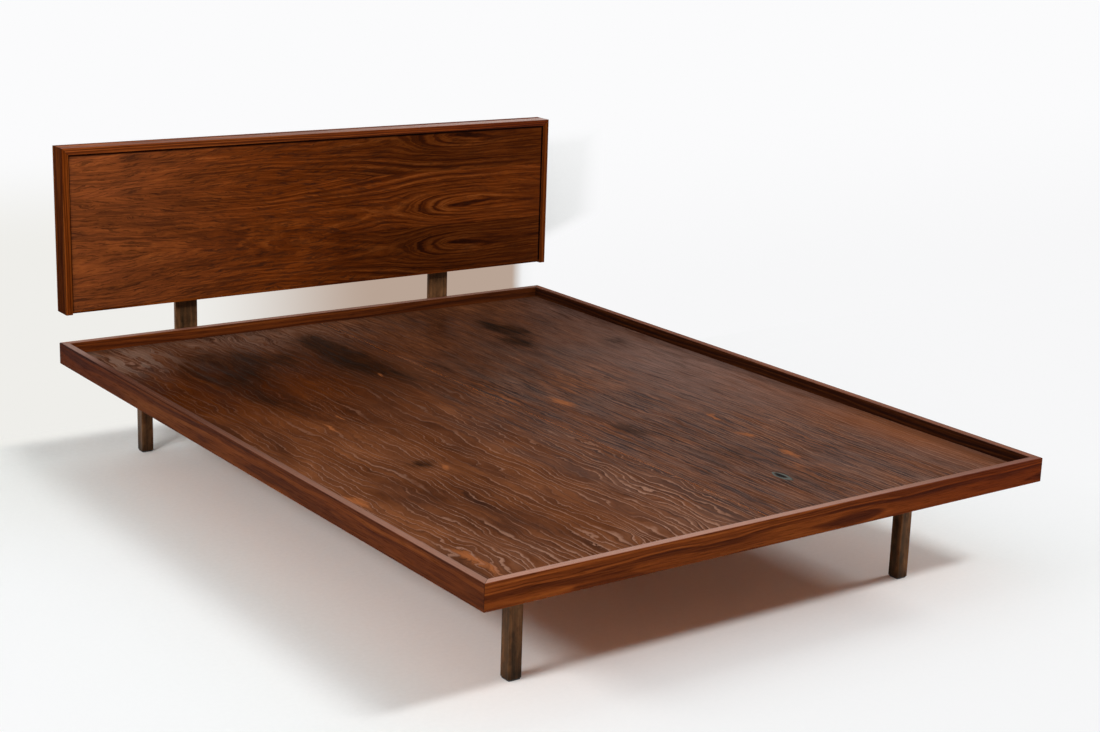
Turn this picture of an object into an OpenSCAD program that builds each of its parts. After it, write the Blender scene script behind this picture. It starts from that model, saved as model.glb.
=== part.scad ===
// Low platform bed. Four mitred walnut rails stand as a lip round a plywood deck, which lies on
// a recessed timber base with four square steel legs. Two flat steel posts behind the head rail
// carry a framed and veneered headboard panel clear of the platform.
// The origin is on the floor, below the middle of the whole bed. +Y points to the headboard,
// +Z up, and +X to the right of someone at the foot end who faces the headboard.

/* [Mattress] */
// Width of the mattress that the tray holds
mattress_w = 1524; // [1200:1:1950]
// Length of the mattress that the tray holds
mattress_l = 2032; // [1850:1:2200]
// Free space between the mattress and each rail
mattress_gap = 3; // [1:0.5:15]

/* [Rails] */
// Thickness of the four rails
rail_t = 21; // [17:0.5:32]
// Height of the rails above the deck
lip_h = 30; // [15:1:60]
// Small flat along the long edges of rails and headboard boards
ease = 0.8; // [0.3:0.1:1.5]
// Open glue line between two mitred boards
mitre_line = 0.4; // [0.1:0.1:1]
// Thickness of the splines in the mitres
spline_t = 4; // [3:0.5:5]
// Width of the splines, across both boards
spline_w = 14; // [10:0.5:16]
// How far a spline stops short of the edge that shows
spline_stop = 8; // [4:0.5:14]

/* [Deck] */
// Thickness of the plywood sheets
deck_t = 16; // [15:0.5:25]
// Free space between the sheets and the rails
deck_fit = 0.5; // [0.2:0.1:3]
// Open seam between the two sheets
seam_gap = 0.6; // [0.2:0.1:3]
// Length of the boat-shaped patch in the face of the right sheet
patch_l = 76; // [50:1:110]
// Width of the patch
patch_w = 30; // [18:1:40]
// Thickness of the patch
patch_t = 2.5; // [1.5:0.1:4]
// Distance of the patch from the seam
patch_from_seam = 215; // [60:1:400]
// Distance of the patch from the foot end of the tray
patch_from_foot = 254; // [120:1:900]
// Width of the cleats under the edge of the deck
cleat_w = 20; // [16:1:32]
// Height of the cleats
cleat_h = 12; // [11:0.5:20]

/* [Base frame] */
// Thickness of the bearers
bearer_t = 38; // [32:1:48]
// Height of the bearers, which stand on edge
bearer_h = 89; // [84:1:140]
// Distance of the base frame from each long side of the bed
side_inset = 199; // [140:1:260]
// Distance of the base frame from the foot end of the bed
foot_inset = 201; // [120:1:320]
// Offset between a left noggin and the right one beside it
noggin_stagger = 60; // [52:1:120]
// Side of the corner blocks
block_w = 62; // [58:1:80]
// Corner cut off each block
block_cut = 20; // [8:1:26]

/* [Legs] */
// Length of the leg tubes
leg_l = 183; // [120:1:260]
// Side of the square leg tubes
leg_w = 33; // [28:1:45]
// Wall of the leg tubes
leg_wall = 2; // [1.5:0.1:3]
// Outer corner radius of the leg tubes
leg_r = 3.2; // [3.1:0.1:5]
// Distance of a leg from the outer faces of the base frame
leg_reveal = 6; // [4:0.5:14]
// Side of the square leg plates
plate_w = 90; // [84:1:100]
// Thickness of the leg plates
plate_t = 5; // [4:0.5:8]
// Distance of a leg plate from the outer faces of the base frame
plate_reveal = 3; // [1:0.5:4]
// Distance of the plate holes from the plate's edges
plate_hole_inset = 12; // [9:0.5:13]
// Height of the glides below the tubes
glide_h = 4; // [3:0.5:8]
// Width of the glides, which stand in from the tube all round
glide_w = 30; // [24:0.5:32]
// Length of the plug that sits in the tube
glide_plug_l = 18; // [8:1:40]

/* [Headboard] */
// Height of the headboard's lower end above the rails
head_gap = 83; // [20:1:160]
// Height of the headboard
head_h = 449; // [380:1:700]
// How far each side of the headboard stands in from the platform's side
head_side_gap = 6; // [0:0.5:40]
// Thickness of the headboard's top and side boards
board_t = 18; // [15:0.5:26]
// How far the panel's face lies behind the boards' front edges
recess = 4; // [2:0.5:12]
// Thickness of the panel's core
core_t = 18; // [17:0.5:22]
// Thickness of the face veneer
veneer_t = 1; // [0.5:0.1:1.5]
// Thickness of the tongue round the panel
tongue_t = 6; // [4:0.5:8]
// Depth of the tongue
tongue_d = 6; // [4:0.5:8]
// How far the side boards hang below the panel
panel_rise = 3; // [1:0.5:12]
// Height of the lipping on the panel's bottom edge
lipping_h = 6; // [3:0.5:15]
// Height of the lower veneer leaf
lower_leaf_h = 141; // [90:1:160]
// Height of the middle veneer leaf
middle_leaf_h = 163; // [90:1:170]
// Thickness of the battens behind the panel
batten_t = 20; // [19:0.5:28]
// Height of the battens
batten_h = 70; // [60:1:90]
// Distance of each batten from the panel's top or bottom edge
batten_inset = 35; // [20:1:60]

/* [Posts] */
// Width of the flat posts
post_w = 65; // [56:1:80]
// Thickness of the posts
post_t = 12; // [8:0.5:16]
// Distance of each post's middle from the long side of the bed
post_inset = 371; // [340:1:440]
// How far the boards' back edges lie behind the posts
head_cover = 8; // [8:0.5:30]
// How far the posts end below the top of the upper batten
post_top_drop = 10; // [4:0.5:14]
// Small flat along the posts' edges
post_ease = 0.7; // [0.3:0.1:1.5]

/* [Fasteners] */
// Diameter of the post bolts
bolt_d = 8; // [6:0.5:10]
// Diameter of the round-head post screws
post_screw_d = 6; // [5:0.5:7]
// Length of the post screws under the head
post_screw_l = 30; // [24:1:31]
// Diameter of the screws in the base frame's joints
frame_screw_d = 5; // [4:0.5:6]
// Length of the screws in the base frame's joints
frame_screw_l = 80; // [60:1:90]
// Diameter of the leg plate screws
leg_screw_d = 5; // [4:0.5:6]
// Length of the leg plate screws
leg_screw_l = 40; // [25:1:42]
// Diameter of the cleat screws
cleat_screw_d = 3.5; // [3:0.5:4.5]
// Length of the cleat screws that run into a rail
rail_screw_l = 35; // [28:1:36]
// Length of the cleat screws that run up into the deck
deck_screw_l = 24; // [18:1:25]
// Diameter of the batten screws
batten_screw_d = 4; // [3:0.5:5]
// Length of the batten screws
batten_screw_l = 35; // [26:1:36]
// Length of each leg of the angle brackets
bracket_l = 40; // [30:1:55]
// Width of the angle brackets
bracket_w = 20; // [16:1:30]
// Thickness of the angle brackets
bracket_t = 2.2; // [2.1:0.1:3]
// Diameter of the bracket screws
bracket_screw_d = 4; // [3:0.5:4]
// Length of the bracket screws
bracket_screw_l = 14; // [10:1:15]

/* [Hidden] */
$fn = 48;
overrun = 1;
// Free space on the radius of a screw in its hole
screw_fit = 0.05;
// Free space on the radius of a bolt in its hole
bolt_fit = 0.25;
// Free space of splines, patch, tongue and glide plugs in their seats
seat_fit = 0.1;
tip_share = 0.15;

// Across flats, head height, nut height and washer sizes follow the bolt's diameter
bolt_head_share = 1.625;
bolt_head_h_share = 0.66;
nut_h_share = 0.81;
washer_d_share = 2;
washer_t_share = 0.2;
bolt_spare_share = 0.375;
bolt_head_w = bolt_d * bolt_head_share;
bolt_head_h = bolt_d * bolt_head_h_share;
nut_h = bolt_d * nut_h_share;
washer_d = bolt_d * washer_d_share;
washer_t = bolt_d * washer_t_share;
bolt_spare = bolt_d * bolt_spare_share;

// Levels, from the floor up
plate_z = glide_h + leg_l;
frame_z = plate_z + plate_t;
deck_z = frame_z + bearer_h;
deck_top = deck_z + deck_t;
rail_top = deck_top + lip_h;
rail_z = deck_z - cleat_h;
rail_h = rail_top - rail_z;

// Platform in plan
bed_w = mattress_w + 2 * (mattress_gap + rail_t);
bed_l = mattress_l + 2 * (mattress_gap + rail_t);
whole_l = bed_l + post_t + head_cover;
side_x = bed_w / 2;
foot_y = -whole_l / 2;
head_y = foot_y + bed_l;
tray_x = side_x - rail_t;
tray_foot_y = foot_y + rail_t;
tray_head_y = head_y - rail_t;

// Base frame in plan
frame_x = side_x - side_inset;
frame_foot_y = foot_y + foot_inset;
frame_head_y = tray_head_y;
bay_x = frame_x - bearer_t;
bay_foot_y = frame_foot_y + bearer_t;
bay_head_y = frame_head_y - bearer_t;
bay_l = bay_head_y - bay_foot_y;
noggin_l = bay_x - bearer_t / 2;
noggin_shares = [1 / 3, 2 / 3];
frame_screw_shares = [0.54, 0.79];

// Cleats and their screws
foot_cleat_x = tray_x - cleat_w;
side_screw_count = 6;
foot_screw_count = 5;
cleat_screw_shift = cleat_screw_d * 5;
head_cleat_mid_x = (foot_cleat_x + frame_x) / 2;

// Angle brackets: shares of a bearer's free length
side_bracket_shares = [0.12, 0.5, 0.88];
end_bracket_share = 0.35;
bracket_hole_shares = [0.38, 0.78];

// Headboard
head_z = rail_top + head_gap;
head_top = head_z + head_h;
head_x = side_x - head_side_gap;
head_front = head_y - batten_t - core_t - veneer_t - recess;
head_d = head_y + post_t + head_cover - head_front;
panel_x = head_x - board_t;
panel_z = head_z + panel_rise;
panel_top = head_top - board_t;
panel_y = head_front + recess;
core_y = panel_y + veneer_t;
core_back = core_y + core_t;
leaf_z = panel_z + lipping_h;
seam_1_z = leaf_z + lower_leaf_h;
seam_2_z = seam_1_z + middle_leaf_h;
lower_batten_z = panel_z + batten_inset;
upper_batten_z = panel_top - batten_inset - batten_h;
batten_screw_shares = [0.12, 0.34, 0.72, 0.92];

// Posts
post_x = side_x - post_inset;
post_top = upper_batten_z + batten_h - post_top_drop;
post_back = head_y + post_t;
post_bolt_shares = [0.225, 0.65];
post_screw_pitch = post_screw_d * 6;
post_rail_screw_share = 0.5;
round_head_r_share = 0.92;
round_head_h_share = 0.62;
slot_w_share = 0.2;
slot_d_share = 0.25;

WALNUT = [0.42, 0.22, 0.11];
VENEER = [0.47, 0.25, 0.12];
STAINED_PLY = [0.27, 0.16, 0.11];
PATCH_WOOD = [0.16, 0.18, 0.17];
PINE = [0.77, 0.63, 0.43];
CORE_WOOD = [0.62, 0.48, 0.33];
PATINA = [0.28, 0.2, 0.13];
STEEL = [0.62, 0.63, 0.64];
BLACK = [0.08, 0.08, 0.08];

// Block between two corners
module block(low, high) {
    translate(low)
        cube(high - low);
}

// Middles of equal steps between two places
function steps(low, high, count) = [for (i = [0:count - 1]) low + (high - low) * (i + 0.5) / count];

// Countersunk screw outline, head at 0 and point at l. A hole has a fit and runs out past the head.
function screw_outline(d, l, fit) = concat(
    fit > 0 ? [[0, -overrun], [d + fit, -overrun], [d + fit, 0]] : [[0, 0], [d, 0]],
    [[d / 2 + fit, d / 2], [d / 2 + fit, l - d], [d * tip_share + fit, l + fit], [0, l + fit]]
);

// Countersunk screw along +Z, or its hole where fit is above 0
module wood_screw(d, l, fit = 0) {
    rotate_extrude()
        polygon(screw_outline(d, l, fit));
}

// Round-head screw along +Z with a slot, or its hole where fit is above 0
module round_screw(d, l, fit = 0) {
    head_r = d * round_head_r_share;
    dome_h = d * round_head_h_share;
    dome_r = (head_r * head_r + dome_h * dome_h) / (2 * dome_h);
    rotate_extrude()
        polygon([
            [0, fit > 0 ? -overrun : 0], [d / 2 + fit, fit > 0 ? -overrun : 0],
            [d / 2 + fit, l - d], [d * tip_share + fit, l + fit], [0, l + fit]
        ]);
    if (fit == 0)
        difference() {
            rotate_extrude()
                intersection() {
                    translate([0, dome_r - dome_h])
                        circle(dome_r);
                    translate([0, -dome_h])
                        square([head_r, dome_h]);
                }
            translate([-head_r, -d * slot_w_share / 2, -dome_h - overrun])
                cube([2 * head_r, d * slot_w_share, overrun + d * slot_d_share]);
        }
}

// Turns a piece that points along +Z to point along another axis
module to_x(sign) {
    rotate([0, sign * 90, 0])
        children();
}

module to_y(sign) {
    rotate([-sign * 90, 0, 0])
        children();
}

// Rectangle from 0 to a and 0 to b with a flat across each corner
module eased_rectangle(a, b, flat) {
    polygon([
        [flat, 0], [a - flat, 0], [a, flat], [a, b - flat],
        [a - flat, b], [flat, b], [0, b - flat], [0, flat]
    ]);
}

module rounded_square(w, r) {
    square([w - 2 * r, w], center = true);
    square([w, w - 2 * r], center = true);
    for (x = [-1, 1])
        for (y = [-1, 1])
            translate([x * (w / 2 - r), y * (w / 2 - r)])
                circle(r);
}

// Board along +X with its outer face at y = 0. An end with cut 1 is mitred and one with cut 0 square.
module mitred_board(l, t, w, near_cut, far_cut) {
    line = mitre_line / 2;
    intersection() {
        rotate([90, 0, 90])
            linear_extrude(l)
                eased_rectangle(t, w, ease);
        translate([0, 0, -overrun])
            linear_extrude(w + 2 * overrun)
                polygon([
                    [near_cut * line, 0], [l - far_cut * line, 0],
                    [l - far_cut * (t + line), t], [near_cut * (t + line), t]
                ]);
    }
}

// Spline across a mitre whose outer corner is the origin and whose boards run along +X and +Y.
// It starts at z = 0 and stops at h.
module mitre_spline(t, h, fit = 0) {
    middle_share = 0.45;
    translate([t * middle_share, t * middle_share, 0])
        rotate([0, 0, -45])
            translate([-spline_w / 2 - fit, -spline_t / 2 - fit, fit > 0 ? -overrun : 0])
                cube([spline_w + 2 * fit, spline_t + 2 * fit, h + fit + (fit > 0 ? overrun : 0)]);
}

module rail_spline_set(fit = 0) {
    for (corner = [[-side_x, foot_y, 0], [side_x, foot_y, 90], [side_x, head_y, 180], [-side_x, head_y, 270]])
        translate([corner[0], corner[1], rail_z])
            rotate([0, 0, corner[2]])
                mitre_spline(rail_t, rail_h - spline_stop, fit);
}

// The headboard's splines run forward from the back edge
module headboard_spline_set(fit = 0) {
    for (side = [0, 1])
        mirror([side, 0, 0])
            translate([-head_x, head_front + head_d, head_top])
                rotate([90, 0, 0])
                    mirror([0, 1, 0])
                        mitre_spline(board_t, head_d - spline_stop, fit);
}

// Screws from the cleats into the rails
module cleat_rail_screw_set(fit = 0) {
    z = rail_z + cleat_h / 2;
    for (side = [-1, 1]) {
        for (y = steps(tray_foot_y, tray_head_y, side_screw_count))
            translate([side * foot_cleat_x, y - cleat_screw_shift, z])
                to_x(side)
                    wood_screw(cleat_screw_d, rail_screw_l, fit);
        translate([side * (head_cleat_mid_x - cleat_screw_shift), tray_head_y - cleat_w, z])
            to_y(1)
                wood_screw(cleat_screw_d, rail_screw_l, fit);
    }
    for (x = steps(-foot_cleat_x, foot_cleat_x, foot_screw_count))
        translate([x - cleat_screw_shift, tray_foot_y + cleat_w, z])
            to_y(-1)
                wood_screw(cleat_screw_d, rail_screw_l, fit);
}

// Screws from below through the cleats into the deck
module cleat_deck_screw_set(fit = 0) {
    for (side = [-1, 1]) {
        for (y = steps(tray_foot_y, tray_head_y, side_screw_count))
            translate([side * (foot_cleat_x + cleat_w / 2), y + cleat_screw_shift, rail_z])
                wood_screw(cleat_screw_d, deck_screw_l, fit);
        translate([side * (head_cleat_mid_x + cleat_screw_shift), tray_head_y - cleat_w / 2, rail_z])
            wood_screw(cleat_screw_d, deck_screw_l, fit);
    }
    for (x = steps(-foot_cleat_x, foot_cleat_x, foot_screw_count))
        translate([x + cleat_screw_shift, tray_foot_y + cleat_w / 2, rail_z])
            wood_screw(cleat_screw_d, deck_screw_l, fit);
}

// Middle of a noggin along Y. Row 0 is nearer the foot, and side is -1 on the left.
function noggin_y(row, side) = bay_foot_y + bay_l * noggin_shares[row] + side * noggin_stagger / 2;

// Screws in the butt joints of the base frame
module frame_screw_set(fit = 0) {
    for (share = frame_screw_shares)
        translate([0, 0, frame_z + bearer_h * share]) {
            for (x = [-frame_x + bearer_t / 2, 0, frame_x - bearer_t / 2]) {
                translate([x, frame_foot_y, 0])
                    to_y(1)
                        wood_screw(frame_screw_d, frame_screw_l, fit);
                translate([x, frame_head_y, 0])
                    to_y(-1)
                        wood_screw(frame_screw_d, frame_screw_l, fit);
            }
            for (side = [-1, 1])
                for (row = [0, 1]) {
                    translate([side * frame_x, noggin_y(row, side), 0])
                        to_x(-side)
                            wood_screw(frame_screw_d, frame_screw_l, fit);
                    translate([-side * bearer_t / 2, noggin_y(row, side), 0])
                        to_x(side)
                            wood_screw(frame_screw_d, frame_screw_l, fit);
                }
        }
}

// Places and turns of the angle brackets, each at the top of a bearer's inner face
bracket_spots = concat(
    [for (share = side_bracket_shares) [-bay_x, bay_foot_y + bay_l * share, 0]],
    [for (share = side_bracket_shares) [bay_x, bay_foot_y + bay_l * share, 180]],
    [for (side = [-1, 1]) [side * bay_x * end_bracket_share, bay_foot_y, 90]],
    [for (side = [-1, 1]) [side * bay_x * end_bracket_share, bay_head_y, 270]]
);

// Screws of one bracket, whose corner is the origin and whose legs run along +X and -Z
module one_bracket_screws(fit = 0) {
    for (share = bracket_hole_shares) {
        translate([bracket_l * share, 0, -bracket_t])
            wood_screw(bracket_screw_d, bracket_screw_l, fit);
        translate([bracket_t, 0, -bracket_l * share])
            to_x(-1)
                wood_screw(bracket_screw_d, bracket_screw_l, fit);
    }
}

module at_brackets() {
    for (spot = bracket_spots)
        translate([spot[0], spot[1], deck_z])
            rotate([0, 0, spot[2]])
                children();
}

// Puts a piece made for the base frame's foot left corner at another corner, with x and y inwards
module at_corner(side, end) {
    translate([side * frame_x, end < 0 ? frame_foot_y : frame_head_y, 0])
        mirror([side > 0 ? 1 : 0, 0, 0])
            mirror([0, end > 0 ? 1 : 0, 0])
                children();
}

module leg_screw_set(fit = 0) {
    near = plate_reveal + plate_hole_inset;
    far = plate_reveal + plate_w - plate_hole_inset;
    for (side = [-1, 1])
        for (end = [-1, 1])
            at_corner(side, end)
                for (x = [near, far])
                    for (y = [near, far])
                        translate([x, y, plate_z])
                            wood_screw(leg_screw_d, leg_screw_l, fit);
}

// Round-head screws from behind: two into the head rail and two into each batten at each post
module post_screw_set(fit = 0) {
    for (side = [-1, 1])
        for (step = [-1, 1]) {
            translate([side * post_x + step * post_screw_pitch / 2, post_back, rail_z + rail_h * post_rail_screw_share])
                to_y(-1)
                    round_screw(post_screw_d, post_screw_l, fit);
            for (z = [lower_batten_z, upper_batten_z])
                translate([side * post_x, post_back, z + batten_h / 2 + step * post_screw_pitch / 2])
                    to_y(-1)
                        round_screw(post_screw_d, post_screw_l, fit);
        }
}

module batten_screw_set(fit = 0) {
    for (side = [-1, 1])
        for (share = batten_screw_shares)
            for (z = [lower_batten_z, upper_batten_z])
                translate([side * panel_x * share, head_y, z + batten_h / 2])
                    to_y(-1)
                        wood_screw(batten_screw_d, batten_screw_l, fit);
}

// Middles of the post bolts, on the posts' back faces
module at_bolts() {
    for (side = [-1, 1])
        for (share = post_bolt_shares)
            translate([side * post_x, post_back, frame_z + bearer_h * share])
                children();
}

module bolt_hole_set() {
    at_bolts()
        translate([0, overrun, 0])
            to_y(-1)
                cylinder(r = bolt_d / 2 + bolt_fit, h = post_back - bay_head_y + 2 * overrun);
}

module foot_rail() {
    color(WALNUT)
        difference() {
            translate([-side_x, foot_y, rail_z])
                mitred_board(bed_w, rail_t, rail_h, 1, 1);
            rail_spline_set(seat_fit);
            cleat_rail_screw_set(screw_fit);
        }
}

module head_rail() {
    color(WALNUT)
        difference() {
            translate([side_x, head_y, rail_z])
                rotate([0, 0, 180])
                    mitred_board(bed_w, rail_t, rail_h, 1, 1);
            rail_spline_set(seat_fit);
            cleat_rail_screw_set(screw_fit);
            post_screw_set(screw_fit);
        }
}

module side_rail(side) {
    color(WALNUT)
        difference() {
            translate([side * side_x, side > 0 ? foot_y : head_y, rail_z])
                rotate([0, 0, side * 90])
                    mitred_board(bed_l, rail_t, rail_h, 1, 1);
            rail_spline_set(seat_fit);
            cleat_rail_screw_set(screw_fit);
        }
}

module rail_splines() {
    color(PINE)
        rail_spline_set();
}

// Boat shape: two arcs that meet in points along Y
module patch_outline(grow) {
    half_w = patch_w / 2 + grow;
    half_l = patch_l / 2 + grow;
    arc_r = (half_l * half_l + half_w * half_w) / (2 * half_w);
    intersection() {
        translate([half_w - arc_r, 0])
            circle(arc_r);
        translate([arc_r - half_w, 0])
            circle(arc_r);
    }
}

module patch_solid(grow) {
    translate([patch_from_seam, tray_foot_y + patch_from_foot, deck_top - patch_t])
        linear_extrude(patch_t + (grow > 0 ? overrun : 0))
            patch_outline(grow);
}

module deck_sheet(side) {
    near = seam_gap / 2;
    far = tray_x - deck_fit;
    color(STAINED_PLY)
        difference() {
            block(
                [side > 0 ? near : -far, tray_foot_y + deck_fit, deck_z],
                [side > 0 ? far : -near, tray_head_y - deck_fit, deck_top]
            );
            if (side > 0)
                patch_solid(seat_fit);
            cleat_deck_screw_set(screw_fit);
            at_brackets()
                one_bracket_screws(screw_fit);
        }
}

module deck_patch() {
    color(PATCH_WOOD)
        patch_solid(0);
}

module side_cleat(side) {
    near = foot_cleat_x;
    far = tray_x;
    color(PINE)
        difference() {
            block(
                [side > 0 ? near : -far, tray_foot_y, rail_z],
                [side > 0 ? far : -near, tray_head_y, deck_z]
            );
            cleat_rail_screw_set(screw_fit);
            cleat_deck_screw_set(screw_fit);
        }
}

module foot_cleat() {
    color(PINE)
        difference() {
            block([-foot_cleat_x, tray_foot_y, rail_z], [foot_cleat_x, tray_foot_y + cleat_w, deck_z]);
            cleat_rail_screw_set(screw_fit);
            cleat_deck_screw_set(screw_fit);
        }
}

module head_cleats() {
    color(PINE)
        difference() {
            for (side = [0, 1])
                mirror([side, 0, 0])
                    block([frame_x, tray_head_y - cleat_w, rail_z], [foot_cleat_x, tray_head_y, deck_z]);
            cleat_rail_screw_set(screw_fit);
            cleat_deck_screw_set(screw_fit);
        }
}

module cleat_rail_screws() {
    color(STEEL)
        cleat_rail_screw_set();
}

module cleat_deck_screws() {
    color(STEEL)
        cleat_deck_screw_set();
}

// Takes the holes of every fastener in the base frame out of a timber piece
module framed() {
    color(PINE)
        difference() {
            children();
            frame_screw_set(screw_fit);
            leg_screw_set(screw_fit);
            at_brackets()
                one_bracket_screws(screw_fit);
        }
}

module foot_bearer() {
    framed()
        block([-frame_x, frame_foot_y, frame_z], [frame_x, bay_foot_y, deck_z]);
}

module head_bearer() {
    framed()
        difference() {
            block([-frame_x, bay_head_y, frame_z], [frame_x, frame_head_y, deck_z]);
            bolt_hole_set();
        }
}

module long_bearer(x) {
    framed()
        block([x - bearer_t / 2, bay_foot_y, frame_z], [x + bearer_t / 2, bay_head_y, deck_z]);
}

module noggin(row, side) {
    near = bearer_t / 2;
    y = noggin_y(row, side);
    framed()
        block(
            [side > 0 ? near : -bay_x, y - bearer_t / 2, frame_z],
            [side > 0 ? bay_x : -near, y + bearer_t / 2, deck_z]
        );
}

module corner_blocks() {
    framed()
        for (side = [-1, 1])
            for (end = [-1, 1])
                at_corner(side, end)
                    translate([bearer_t, bearer_t, frame_z])
                        linear_extrude(bearer_h)
                            polygon([
                                [0, 0], [block_w, 0], [block_w, block_w - block_cut],
                                [block_w - block_cut, block_w], [0, block_w]
                            ]);
}

module frame_screws() {
    color(STEEL)
        frame_screw_set();
}

module deck_brackets() {
    color(STEEL)
        at_brackets()
            difference() {
                translate([0, bracket_w / 2, 0])
                    rotate([90, 0, 0])
                        linear_extrude(bracket_w)
                            polygon([
                                [0, 0], [bracket_l, 0], [bracket_l, -bracket_t],
                                [bracket_t, -bracket_t], [bracket_t, -bracket_l], [0, -bracket_l]
                            ]);
                one_bracket_screws(screw_fit);
            }
}

module bracket_screws() {
    color(STEEL)
        at_brackets()
            one_bracket_screws();
}

// Middle of a leg, from the base frame's outer corner
leg_mid = leg_reveal + leg_w / 2;

module leg(side, end) {
    color(PATINA)
        at_corner(side, end)
            translate([leg_mid, leg_mid, glide_h])
                linear_extrude(leg_l)
                    difference() {
                        rounded_square(leg_w, leg_r);
                        rounded_square(leg_w - 2 * leg_wall, leg_r - leg_wall);
                    }
}

module leg_plate(side, end) {
    color(PATINA)
        difference() {
            at_corner(side, end)
                translate([plate_reveal, plate_reveal, plate_z])
                    linear_extrude(plate_t)
                        eased_rectangle(plate_w, plate_w, plate_t / 2);
            leg_screw_set(screw_fit);
        }
}

// Glide: a low foot with cut corners and a plug up inside the tube
module glide(side, end) {
    plug_w = leg_w - 2 * leg_wall - 2 * seat_fit;
    corner_share = 0.17;
    color(BLACK)
        at_corner(side, end)
            translate([leg_mid, leg_mid, 0]) {
                translate([-glide_w / 2, -glide_w / 2, 0])
                    linear_extrude(glide_h)
                        eased_rectangle(glide_w, glide_w, glide_w * corner_share);
                linear_extrude(glide_h + glide_plug_l)
                    rounded_square(plug_w, leg_r - leg_wall);
            }
}

module leg_screws() {
    color(STEEL)
        leg_screw_set();
}

// The groove, or the tongue where fit is 0, that holds the panel on three sides
module tongue(fit = 0) {
    mid_y = core_y + core_t / 2;
    block(
        [-panel_x - tongue_d - fit, mid_y - tongue_t / 2 - fit, leaf_z - fit],
        [panel_x + tongue_d + fit, mid_y + tongue_t / 2 + fit, panel_top + tongue_d + fit]
    );
}

module headboard_top_board() {
    color(WALNUT)
        difference() {
            translate([-head_x, head_front, head_top])
                rotate([-90, 0, 0])
                    mitred_board(2 * head_x, board_t, head_d, 1, 1);
            headboard_spline_set(seat_fit);
            tongue(seat_fit);
        }
}

module headboard_side_board(side) {
    color(WALNUT)
        difference() {
            mirror([side > 0 ? 1 : 0, 0, 0])
                translate([-head_x, head_front, head_z])
                    rotate([-90, 0, 0])
                        rotate([0, 0, -90])
                            mitred_board(head_h, board_t, head_d, 0, 1);
            headboard_spline_set(seat_fit);
            tongue(seat_fit);
        }
}

module headboard_splines() {
    color(PINE)
        headboard_spline_set();
}

module panel_core() {
    color(CORE_WOOD)
        difference() {
            union() {
                block([-panel_x, core_y, leaf_z], [panel_x, core_back, panel_top]);
                tongue();
            }
            batten_screw_set(screw_fit);
        }
}

module veneer_leaf(low, high) {
    color(VENEER)
        block([-panel_x, panel_y, low], [panel_x, core_y, high]);
}

module panel_lipping() {
    color(WALNUT)
        block([-panel_x, panel_y, panel_z], [panel_x, core_back, leaf_z]);
}

module batten(z) {
    color(PINE)
        difference() {
            block([-panel_x, core_back, z], [panel_x, head_y, z + batten_h]);
            batten_screw_set(screw_fit);
            post_screw_set(screw_fit);
        }
}

module batten_screws() {
    color(STEEL)
        batten_screw_set();
}

module post(side) {
    color(PATINA)
        difference() {
            translate([side * post_x - post_w / 2, head_y, frame_z])
                linear_extrude(post_top - frame_z)
                    eased_rectangle(post_w, post_t, post_ease);
            bolt_hole_set();
            post_screw_set(screw_fit);
        }
}

module post_spacers() {
    color(PINE)
        difference() {
            for (side = [-1, 1])
                block(
                    [side * post_x - post_w / 2, tray_head_y, frame_z],
                    [side * post_x + post_w / 2, head_y, rail_z]
                );
            bolt_hole_set();
        }
}

module post_screws() {
    color(STEEL)
        post_screw_set();
}

module post_bolts() {
    color(STEEL)
        at_bolts()
            translate([0, washer_t, 0])
                to_y(-1) {
                    cylinder(
                        d = bolt_d,
                        h = post_back - bay_head_y + 2 * washer_t + nut_h + bolt_spare
                    );
                    translate([0, 0, -bolt_head_h])
                        cylinder(d = bolt_head_w / cos(30), h = bolt_head_h, $fn = 6);
                }
}

// Ring of outer diameter d round a bolt, from 0 along -Y
module bolt_ring(d, h, sides = $fn) {
    to_y(-1)
        difference() {
            cylinder(d = d, h = h, $fn = sides);
            translate([0, 0, -overrun])
                cylinder(r = bolt_d / 2 + screw_fit, h = h + 2 * overrun);
        }
}

module post_washers() {
    color(STEEL)
        at_bolts() {
            translate([0, washer_t, 0])
                bolt_ring(washer_d, washer_t);
            translate([0, bay_head_y - post_back, 0])
                bolt_ring(washer_d, washer_t);
        }
}

module post_nuts() {
    color(STEEL)
        at_bolts()
            translate([0, bay_head_y - post_back - washer_t, 0])
                bolt_ring(bolt_head_w / cos(30), nut_h, 6);
}

side_rail(-1);  // left_rail
side_rail(1);  // right_rail
foot_rail();
head_rail();
rail_splines();
deck_sheet(-1);  // left_deck_sheet
deck_sheet(1);  // right_deck_sheet
deck_patch();
side_cleat(-1);  // left_cleat
side_cleat(1);  // right_cleat
foot_cleat();
head_cleats();
cleat_rail_screws();
cleat_deck_screws();
foot_bearer();
head_bearer();
long_bearer(-frame_x + bearer_t / 2);  // left_bearer
long_bearer(frame_x - bearer_t / 2);  // right_bearer
long_bearer(0);  // centre_bearer
noggin(0, -1);  // foot_left_noggin
noggin(0, 1);  // foot_right_noggin
noggin(1, -1);  // head_left_noggin
noggin(1, 1);  // head_right_noggin
corner_blocks();
frame_screws();
deck_brackets();
bracket_screws();
leg(-1, -1);  // foot_left_leg
leg(1, -1);  // foot_right_leg
leg(-1, 1);  // head_left_leg
leg(1, 1);  // head_right_leg
leg_plate(-1, -1);  // foot_left_leg_plate
leg_plate(1, -1);  // foot_right_leg_plate
leg_plate(-1, 1);  // head_left_leg_plate
leg_plate(1, 1);  // head_right_leg_plate
glide(-1, -1);  // foot_left_glide
glide(1, -1);  // foot_right_glide
glide(-1, 1);  // head_left_glide
glide(1, 1);  // head_right_glide
leg_screws();
headboard_top_board();
headboard_side_board(-1);  // headboard_left_board
headboard_side_board(1);  // headboard_right_board
headboard_splines();
panel_core();
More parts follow.
